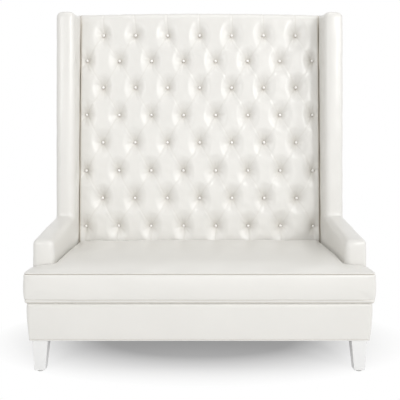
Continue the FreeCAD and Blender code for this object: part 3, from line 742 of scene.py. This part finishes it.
def tuft_buttons():
    """Leather covered buttons, domed, with a rolled rim, each turned a little differently."""
    verts, faces, shade = [], [], []
    draw = np.random.default_rng(21)
    for (column, _), (x, z) in button_places().items():
        start = len(verts)
        tilt_x, tilt_z = draw.normal(0, 0.05, 2)
        radius = BUTTON_RADIUS * draw.uniform(0.98, 1.03)
        depth = SIDE_BUTTON_DEPTH if abs(column) == LAST_COLUMN else BUTTON_DEPTH
        y = back_y(z, depth + draw.normal(0, 0.0006))
        verts.append((x, y - BUTTON_SECTION[0][1], z))
        shade.append(0.0)
        for part, rise in BUTTON_SECTION[1:]:
            for step in range(BUTTON_SIDES):
                angle = 2 * math.pi * step / BUTTON_SIDES
                u, v = radius * part * math.cos(angle), radius * part * math.sin(angle)
                verts.append((x + u, y - rise + tilt_x * u + tilt_z * v, z + v))
                # Painted shade on the rim and under it, where the button sits in its pit
                shade.append(0.0 if part < 0.9 and rise > 0 else 0.7)
        rings = [start + 1 + ring * BUTTON_SIDES for ring in range(len(BUTTON_SECTION) - 1)]
        for step in range(BUTTON_SIDES):
            after = (step + 1) % BUTTON_SIDES
            faces.append((start, rings[0] + step, rings[0] + after))
            for a, b in zip(rings, rings[1:]):
                faces.append((a + step, b + step, b + after, a + after))
        faces.append(tuple(rings[-1] + step for step in reversed(range(BUTTON_SIDES))))
    new_piece("tuft_button_covers", verts, faces, "button_leather", "settee_frame",
              "tuft_buttons", painted_shade=shade)


# Loose seat cushion: half widths over the ears and between the arms, and its depths

EAR, BODY = 0.777, HALF_BACK - 0.0003
REAR, EAR_BACK = 0.18814, ARM_Y - 0.0003
SEAM_Z, CUSHION_LOW = 0.4425, 0.3120


def crown(points):
    """Height of the cushion's top panel."""
    x, y = np.abs(points[:, 0]), points[:, 1]
    front = np.maximum(y - FRONT - 0.012, 0)
    end = np.maximum(EAR - 0.012 - x, 0)
    rear = np.maximum(REAR - 0.012 - y, 0)
    # Distance to the edges that lie against arms: behind the ear and beside the body
    corner = np.hypot(BODY - x, EAR_BACK - y)
    arm = np.where(x > BODY, EAR_BACK - y, np.where(y < EAR_BACK, corner, BODY - x))
    arm = np.maximum(arm - 0.010, 0)
    middle = 0.0330 + 0.0125 * share(y, FRONT, 0.30) ** 0.8
    middle *= 1 - 0.12 * share(x, 0, HALF_BACK) ** 3
    rise = middle * eased(front, 0.046) * (0.30 + 0.70 * eased(end, 0.036))
    rise *= (0.90 + 0.10 * eased(arm, 0.020)) * (0.90 + 0.10 * eased(rear, 0.02))
    return SEAM_Z + 0.0040 + rise


# The cover's section from the bottom panel to the top one: (inset, height)
UNDERSIDE = ((0.0168, 0.3120), (0.0155, 0.3122), (0.0128, 0.3136), (0.0100, 0.3160),
             (0.0076, 0.3192))
LOWER_SEAM = ((0.0062, 0.3228), (0.0056, 0.3262), (0.0060, 0.3286), (0.0082, 0.3302),
              (0.0056, 0.3318), (0.0040, 0.3345))
BOXING = ((0.0030, 0.3400), (0.0016, 0.3490), (0.0006, 0.3610), (0.00013, 0.3715),
          (0.00012, 0.3729), (0.00011, 0.3737), (0.0, 0.3840), (0.00022, 0.3943),
          (0.00025, 0.3951), (0.00031, 0.3965), (0.0009, 0.4070), (0.0015, 0.4165),
          (0.0018, 0.4240), (0.0016, 0.4300), (0.0012, 0.4340))
UPPER_SEAM = ((0.0016, 0.4374), (0.0032, 0.4402), (0.0052, 0.4416), (0.0088, 0.4420),
              (0.0096, 0.4428), (0.0066, 0.4438), (0.0052, 0.4458), (0.0054, 0.4480),
              (0.0072, 0.4494), (0.0098, 0.4492))
TOP_EDGE = ((0.0130, crown), (0.0150, crown), (0.0168, crown))
CUSHION_ROWS = (*UNDERSIDE, *LOWER_SEAM, *BOXING, *UPPER_SEAM, *TOP_EDGE)
# Share of painted shade in a seam's groove
SEAM_PAINTED_SHADE = {0.0082: 0.8, 0.0088: 1.6, 0.0096: 1.6}   # by the inset of a seam's groove
ZIP_HALF, ZIP_GROOVE = 0.590, 0.0070                    # half length and depth of the groove


def seat_cushion():
    """T-shaped leather case, crowned, with a boxed front, its seams and the zip's groove."""
    outline = rounded(mirrored([(EAR, FRONT, 0.018), (EAR, EAR_BACK, 0.018),
                                (BODY, EAR_BACK, 0.012), (BODY, REAR, 0.030)]), 0.008)
    count = len(outline)
    points, faces = stuffed(outline, CUSHION_ROWS, crown, CUSHION_LOW, 0.010)
    shade = np.zeros(len(points))
    for row, (inset, _) in enumerate(CUSHION_ROWS):
        shade[row * count:(row + 1) * count] = SEAM_PAINTED_SHADE.get(inset, 0.0)
    # Painted shade, at half strength, on the rounded edge of the underside
    shade[:len(UNDERSIDE) * count] = 0.5
    x, y, z = points.T
    # The top and the boxing are not quite even; the zip lies in a groove at the rear
    z += (z > 0.45) * 0.0009 * soft_noise(points[:, :2], 0.22, 31)
    y -= ((z > 0.3733) & (z < 0.3947) & (y > REAR - 0.003) & (np.abs(x) < ZIP_HALF)) * ZIP_GROOVE
    boxing = (z > 0.325) & (z < 0.436) & (y < FRONT + 0.03)
    y += boxing * 0.0008 * (1 + soft_noise(points[:, [0, 2]], 0.26, 32))
    piece = new_piece("seat_cushion", points, faces, "padded_leather", "seat_cushion",
                      "seat_cushion_cover", painted_shade=shade)
    puffed(piece, (z <= 0.4500) & ~boxing, pressure=2.5, cap=0.0050)


def puffed(piece, held, pressure, cap, frames=20):
    """Cloth pass in place: the cover swells, apart from its held points, and no point moves
    further than cap."""
    before = vectors_of(piece.data)
    pins = piece.vertex_groups.new(name="held")
    pins.add([int(i) for i in np.nonzero(held)[0]], 1.0, "REPLACE")
    cloth = piece.modifiers.new("cloth", "CLOTH")
    settings = cloth.settings
    settings.vertex_group_mass = "held"
    settings.use_pressure = True
    settings.uniform_pressure_force = pressure
    settings.quality = 4
    settings.tension_stiffness = 40
    settings.bending_stiffness = 2
    settings.effector_weights.gravity = 0
    cloth.collision_settings.use_collision = False
    cloth.point_cache.frame_end = frames
    for step in range(1, frames + 1):
        scene.frame_set(step)
    graph = bpy.context.evaluated_depsgraph_get()
    moved = vectors_of(piece.evaluated_get(graph).data) - before
    piece.modifiers.clear()
    piece.vertex_groups.clear()
    scene.frame_set(1)
    reach = np.linalg.norm(moved, axis=1)
    moved *= (cap * np.tanh(reach / cap) / np.maximum(reach, 1e-9))[:, None]
    set_points(piece.data, before + moved)


TOOTH_PITCH = 0.0030
TOOTH_Y, TOOTH_Z = (0.18215, 0.18425), (0.3812, 0.3868)
STOP_Y, STOP_Z = (0.18215, 0.18450), (0.3800, 0.3880)
FLANGE_Y = (0.18260, 0.18460)


def add_block(shape, x, y, z, ease=0.0003):
    """Adds a box over the ranges x, y and z, its rear edges eased, to shape, which is a list
    of corners and one of faces."""
    verts, faces = shape
    start = len(verts)
    for depth, cut in ((y[0], 0.0), (y[1] - ease, 0.0), (y[1], ease)):
        x0, x1, z0, z1 = x[0] + cut, x[1] - cut, z[0] + cut, z[1] - cut
        verts.extend([(x0, depth, z0), (x1, depth, z0), (x1, depth, z1), (x0, depth, z1)])
    for ring in (start, start + 4):
        for i in range(4):
            j = (i + 1) % 4
            faces.append((ring + j, ring + i, ring + 4 + i, ring + 4 + j))
    faces.append((start, start + 1, start + 2, start + 3))
    faces.append((start + 11, start + 10, start + 9, start + 8))


def zip_pieces():
    """Metal teeth along the tape between two end stops, and the slider with its pull."""
    low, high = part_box("cushion_zip_tape")
    teeth = ([], [])
    for i in range(int((high.x - low.x - 0.012) / TOOTH_PITCH)):
        x = low.x + 0.006 + i * TOOTH_PITCH
        shift = 0.0007 if i % 2 else -0.0007
        add_block(teeth, (x, x + 0.0021), TOOTH_Y, [z + shift for z in TOOTH_Z])
    for x in (low.x + 0.001, high.x - 0.005):
        add_block(teeth, (x, x + 0.004), STOP_Y, STOP_Z)
    new_piece("zip_teeth", *teeth, "zip_metal", "seat_cushion", smooth=False)
    low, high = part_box("cushion_zip_slider")
    slider = ([], [])
    add_block(slider, (low.x, high.x), (0.18455, high.y), (low.z, high.z), 0.0008)
    for z in ((low.z, low.z + 0.0011), (high.z - 0.0011, high.z)):
        add_block(slider, (low.x, high.x), FLANGE_Y, z)
    # The bridge that holds the pull, and the pull
    add_block(slider, (low.x + 0.003, high.x - 0.009), (high.y - 0.0003, high.y + 0.0018),
              (0.3824, 0.3856), 0.0004)
    add_block(slider, (high.x - 0.012, high.x + 0.0085), (high.y + 0.0005, high.y + 0.0015),
              TOOTH_Z, 0.0004)
    new_piece("zip_slider_and_pull", *slider, "zip_metal", "zip_slider", "cushion_zip_slider",
              smooth=False)


# Pads of arms, wings and base

def remeshed(node, name, smooth, slot):
    """Copy of a CAD solid with even faces and softened edges, for the upholstery over it."""
    piece = linked(name, nodes[node].data.copy())
    remesh = piece.modifiers.new("even", "REMESH")
    remesh.mode = "VOXEL"
    remesh.voxel_size = 0.006
    remesh.use_smooth_shade = True
    soften = piece.modifiers.new("soften", "SMOOTH")
    soften.iterations = smooth
    soften.factor = 0.5
    apply_modifiers(piece)
    return settle(piece, slot, "settee_frame", node)


PAD_CORNER = 0.026          # radius of a wing's top inner corner
PAD_MIDDLE, PAD_HALF = 0.7165, 0.0485   # of the fronts of wing and arm, across
SEAT_EDGE = 0.42            # above this height a pad shows beside the back


def side_pads():
    for side in ("right", "left"):
        piece = remeshed(side + "_side_pad", side + "_arm_and_wing", 26, "padded_leather")
        points, normals = vectors_of(piece.data), vectors_of(piece.data, "normal")
        swell = 0.0007 * soft_noise(points, 0.17, 41) + 0.0009
        points = points + normals * swell[:, None]
        x, y, z = points.T
        behind = y - back_y(z)
        inner = (np.abs(x) < HALF_BACK + 0.012) & (z > SEAT_EDGE)
        # The inner face gives way where the back presses against it
        x += np.sign(x) * inner * bell(behind, 0.012) * 0.0012
        # The top inner corner is crisp beside the back and falls a little towards the front
        into = np.clip(PAD_CORNER - (np.abs(x) - HALF_BACK), 0, PAD_CORNER)
        drop = PAD_CORNER - np.sqrt(PAD_CORNER ** 2 - into ** 2)
        rear = smoothstep(share(y - WING_Y, 0.040, 0.095))
        z += rear * drop * share(z, 1.660, 0.035) - 0.0045 * (1 - rear) * share(z, 1.60, 0.1)
        # Crowned fronts of wing and arm
        ahead = np.clip(-normals[:, 1], 0, 1) ** 2
        across = (np.abs(x) - PAD_MIDDLE) / PAD_HALF
        y -= ahead * 0.0040 * np.clip(1 - across ** 2, 0, 1)
        set_points(piece.data, points)
        # Painted shade on the inner face along the gap beside the back
        add_painted_shade(piece.data, inner * bell(np.maximum(np.abs(behind) - 0.006, 0), 0.010))


def swept(path, profile):
    """Closed profile of (inset, height) swept along an open path; returns points and faces."""
    along = np.gradient(path, axis=0)
    along /= np.linalg.norm(along, axis=1)[:, None]
    turn = np.stack([-along[:, 1], along[:, 0]], 1)
    count = len(profile)
    points = [(*(spot + side * inset), height)
              for spot, side in zip(path, turn) for inset, height in profile]
    ends = [tuple(reversed(range(count))), tuple(range(len(points) - count, len(points)))]
    return np.array(points), ring_faces(count, len(path)) + ends


# The base band's section from the top down, with the hem's groove and its roll: (inset, height)
HEM_GROOVE = (0.0128, 0.1480)
BAND_SECTION = (
    (0.0190, 0.3095), (0.0090, 0.3097), (0.0055, 0.3090), (0.0034, 0.3072), (0.0019, 0.3035),
    (0.0008, 0.2970), (0.0001, 0.2880), (0.0, 0.2780), (0.0005, 0.2620), (0.0016, 0.2400),
    (0.0034, 0.2180), (0.0056, 0.1960), (0.0079, 0.1750), (0.0099, 0.1580), (0.0108, 0.1515),
    (0.0112, 0.1493), HEM_GROOVE, (0.0116, 0.1466), (0.0118, 0.1434), (0.0132, 0.1410),
    (0.0156, 0.1398), (0.0190, 0.1396))


def nearest(points, u, v):
    return int(np.argmin(np.hypot(points[:, 0] - u, points[:, 1] - v)))


def border():
    """Padded band round the front and sides of the base, with a hem rolled under it."""
    low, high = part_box("base_border")
    side, front, rear = high.x, low.y, high.y
    ring = rounded(mirrored([(side, front, 0.020), (side, rear, 0)]), 0.012)
    ring = np.roll(ring, -nearest(ring, -side, rear), 0)
    path = ring[:nearest(ring, side, rear) + 1]
    points, faces = swept(path, BAND_SECTION)
    # Painted shade in the hem's groove
    shade = np.tile([1.0 if spot == HEM_GROOVE else 0.0 for spot in BAND_SECTION], len(path))
    x, y, z = points.T
    face = (z > 0.16) & (z < 0.30) & (y < front + 0.05)
    y += face * soft_noise(points, 0.30, 51) * 0.0007
    piece = new_piece("base_band", points, faces, "padded_leather", "settee_frame",
                      "base_border", painted_shade=shade)


# Outside covers. Their rim as (inset, rise) from the rear of the cover to its face
RIM = ((0.0022, 0.0), (0.0006, 0.0), (0.0, 0.0012), (0.0002, 0.0034), (0.0014, 0.0052),
       (0.0034, 0.0062), (0.0070, 0.0067))


def panel(name, outline, place, level, swell, spacing, node, flip):
    """Cover with a rounded rim and a slightly full face. level turns a rise of the rim into
    a height w over the outline, and place turns (u, v, w) into (x, y, z)."""
    middle = outline.mean(0)
    reach = outline.max(0) - middle
    rows = [(inset, level(rise)) for inset, rise in RIM]

    def face(points):
        full = np.clip(1 - ((points - middle) / reach) ** 2, 0, 1)
        edge = eased(near(points, outline[::3]), 0.03)
        wave = soft_noise(points, 0.33, 61)
        return rows[-1][1] + swell * edge * (0.5 + 0.5 * full[:, 0] * full[:, 1] + 0.45 * wave)

    points, faces = stuffed(outline, rows, face, rows[0][1], spacing)
    if flip:
        faces = [tuple(reversed(f)) for f in faces]
    verts = np.column_stack(place(*points.T))
    piece = new_piece(name, verts, faces, "outer_leather", "settee_frame", node)


def outside_back():
    side, top, corner = HALF_SPAN - 0.0006, WING_TOP - 0.0010, 0.030
    arch = [(x, top_z(x) - 0.0010, 0) for x in np.linspace(HALF_BACK, -HALF_BACK, 41)]
    outline = rounded([(-side, LEG_TOP, 0.010), (side, LEG_TOP, 0.010), (side, top, corner),
                       (HALF_BACK, top, 0), *arch, (-HALF_BACK, top, 0),
                       (-side, top, corner)], 0.012)
    panel("outside_back", outline, lambda x, z, offset: (x, back_y(z, offset), z),
          lambda rise: COVER_OFFSET + 0.0002 + rise * 0.8, 0.0030, 0.016,
          "outside_back_panel", True)


def outside_panels():
    inset, low = 0.0302, PLATFORM + 0.0004
    front, step, top = ARM_Y + inset, WING_Y + inset, WING_TOP - inset
    rear = COVER_OFFSET - 0.0005

    def under_arm(y):
        return ARM_TOP + (y - ARM_Y) * ARM_RISE - inset

    outline = rounded([(front, low, 0.010), (back_y(low, rear), low, 0.010),
                       (back_y(top, rear), top, 0.010), (step, top, 0.012),
                       (step, under_arm(step), 0.012), (front, under_arm(front), 0.012)], 0.010)
    for side, sign in (("right", 1), ("left", -1)):
        panel(side + "_outside_cover", outline, lambda y, z, out: (sign * out, y, z),
              lambda rise: HALF_SPAN - 0.0078 + rise * 1.1, 0.0022, 0.014,
              side + "_outside_panel", sign < 0)


def legs():
    """Tapered legs with eased edges."""
    for name in ("front_right_leg", "front_left_leg", "rear_right_leg", "rear_left_leg"):
        title = name + "_lacquered"
        mesh = bpy.data.meshes.new(title)
        shape = bmesh.new()
        shape.from_mesh(nodes[name].data)
        bmesh.ops.remove_doubles(shape, verts=shape.verts, dist=1e-6)
        bmesh.ops.dissolve_limit(shape, angle_limit=math.radians(2), verts=shape.verts,
                                 edges=shape.edges)
        sharp = [edge for edge in shape.edges if len(edge.link_faces) == 2
                 and edge.calc_face_angle() > math.radians(12) and edge.calc_length() > 0.02]
        bmesh.ops.bevel(shape, geom=sharp, offset=0.0022, segments=3, profile=0.5,
                        affect="EDGES", clamp_overlap=True)
        shape.to_mesh(mesh)
        shape.free()
        mesh.shade_smooth()
        piece = linked(title, mesh)
        settle(piece, "white_lacquer", "settee_frame", name)
        piece.modifiers.new("flat faces", "WEIGHTED_NORMAL").keep_sharp = True


def deck():
    piece = remeshed("seat_deck", "seat_deck_cover", 3, "deck_cloth")


CLOTH_TOP, CLOTH_UNDER = 0.1457, 0.1447
HEM_WIDTH = 0.020


def dust_cover():
    """Black cloth tacked under the seat rails, its edges turned under, slack between them."""
    wide, notch, front, rear = 0.7415, 0.6775, -0.3201, 0.3013
    fore, aft = front + 0.040, rear - 0.040
    outline = rounded(mirrored([(notch, front, 0.004), (notch, fore, 0.002),
                                (wide, fore, 0.004), (wide, aft, 0.004),
                                (notch, aft, 0.002), (notch, rear, 0.004)]), 0.012)
    tacks = outline[::3]

    def slack(points):
        edge = near(points, outline[::2])
        hem = 0.0007 * np.clip((HEM_WIDTH - edge) / 0.002, 0, 1)
        sag = 0.0034 * (1 - bell(edge, 0.10)) * (1 + 0.18 * soft_noise(points, 0.25, 71))
        tuck = 0.0010 * np.exp(-near(points, tacks) / 0.012) * (edge > 0.004)
        return sag + hem - tuck

    def bottom(points):
        return CLOTH_UNDER - slack(points)

    def top(points):
        return CLOTH_TOP - slack(points) * (near(points, outline[::2]) > HEM_WIDTH)

    rim = [(0.0, CLOTH_UNDER + 0.0002), (0.0, CLOTH_TOP)]
    points, faces = stuffed(outline, rim, top, bottom, 0.010)
    piece = new_piece("dust_cover_cloth", points, faces, "dust_cloth", "settee_frame",
                      "dust_cover")


# Floor, light and background

def shaded(tree, kind, colour, strength=None):
    """Output of a new shader."""
    node = tree.nodes.new(kind)
    node.inputs["Color"].default_value = (*colour, 1)
    if strength is not None:
        node.inputs["Strength"].default_value = strength
    return node.outputs[0]


def seen_rays(tree):
    """1 for rays from the camera, in reflections and through glass; 0 for the rays that light
    the object."""
    path = tree.nodes.new("ShaderNodeLightPath")
    value = path.outputs["Is Camera Ray"]
    for kind in ("Is Glossy Ray", "Is Transmission Ray"):
        total = tree.nodes.new("ShaderNodeMath")
        total.operation, total.use_clamp = "ADD", True
        tree.links.new(value, total.inputs[0])
        tree.links.new(path.outputs[kind], total.inputs[1])
        value = total.outputs[0]
    return value


def surface(tree, factor, first, second, output):
    """Joins two shaders by a factor and shows them at the tree's output of that type."""
    mix = tree.nodes.new("ShaderNodeMixShader")
    for index, value in enumerate((factor, first, second)):
        tree.links.new(value, mix.inputs[index])
    target = next(node for node in tree.nodes if node.type == output)
    tree.links.new(mix.outputs[0], target.inputs["Surface"])


FLOOR_RADIUS, FLOOR_SIDES = 9, 64
# The floor turns white beyond an ellipse of these half axes, which lies a little to the rear
SHADOW_SCALE = (1 / 1.10, 1 / 0.53, 1.0)
SHADOW_SHIFT = (0.0, -0.12, 0.0)


def stage():
    """A pale floor that turns into the white background away from the settee."""
    graph = Graph("floor")
    tree = graph.tree
    tree.nodes.remove(graph.shader)
    stretch = graph.add("ShaderNodeMapping", {"Location": SHADOW_SHIFT, "Scale": SHADOW_SCALE})
    graph.join(graph.place, stretch, "Vector")
    distance = graph.add("ShaderNodeVectorMath", operation="LENGTH")
    graph.join(stretch.outputs["Vector"], distance, 0)
    # Even under the settee a quarter of the floor as seen is white glow: painted light that
    # lightens its shadow
    far = graph.ramp(distance.outputs["Value"], 0.45, 1.0, 0.25, 1.0)
    factor = graph.add("ShaderNodeMath", operation="MULTIPLY")
    graph.join(far, factor, 0)
    graph.join(seen_rays(tree), factor, 1)
    surface(tree, factor.outputs["Value"],
            shaded(tree, "ShaderNodeBsdfDiffuse", (0.93, 0.93, 0.93)),
            shaded(tree, "ShaderNodeEmission", (1, 1, 1), 1.0), "OUTPUT_MATERIAL")
    mesh = bpy.data.meshes.new("floor")
    turns = np.linspace(0, 2 * math.pi, FLOOR_SIDES + 1)[:-1]
    ring = [(FLOOR_RADIUS * math.cos(a), FLOOR_RADIUS * math.sin(a), 0) for a in turns]
    mesh.from_pydata(ring, [], [tuple(range(FLOOR_SIDES))])
    mesh.materials.append(graph.material)
    floor = linked("floor", mesh)


WORLD_LIGHT = 0.50
LAMPS = (                   # name, place, aim, size, power
    ("key", (6.8, -5.0, 3.7), (0, 0, 0.9), (2.6, 3.6), 130.0),
    ("soft", (4.1, -8.0, 3.4), (0, 0, 0.9), (1.3, 2.8), 150.0),
    ("left", (-2.6, -3.4, 2.0), (0, 0, 0.9), (1.2, 1.8), 20.0),
    ("top", (0.3, -0.9, 4.6), (0, 0, 0.6), (2.5, 2.0), 22.0),
    ("low", (0.2, -4.6, 0.9), (0, 0, 0.7), (2.5, 1.2), 14.0),
)


def light_scene():
    """White where it is seen, softer where it lights the settee, and soft lamps."""
    world = bpy.data.worlds.new("studio")
    scene.world = world
    world.use_nodes = True
    tree = world.node_tree
    tree.nodes.remove(tree.nodes["Background"])
    surface(tree, seen_rays(tree),
            shaded(tree, "ShaderNodeBackground", (1.0, 0.995, 0.985), WORLD_LIGHT),
            shaded(tree, "ShaderNodeBackground", (1, 1, 1), 1.0), "OUTPUT_WORLD")
    for name, place, aim, size, power in LAMPS:
        data = bpy.data.lights.new(name, "AREA")
        data.shape = "RECTANGLE"
        data.size, data.size_y = size
        data.energy = power
        lamp = linked(name, data)
        lamp.location = place
        direction = Vector(aim) - Vector(place)
        lamp.rotation_euler = direction.to_track_quat("-Z", "Y").to_euler()
    scene.view_settings.view_transform = "Standard"


set_camera()
dress_nodes()
tufted_back()
tuft_buttons()
seat_cushion()
side_pads()
border()
outside_back()
outside_panels()
legs()
deck()
zip_pieces()
dust_cover()
light_scene()
stage()
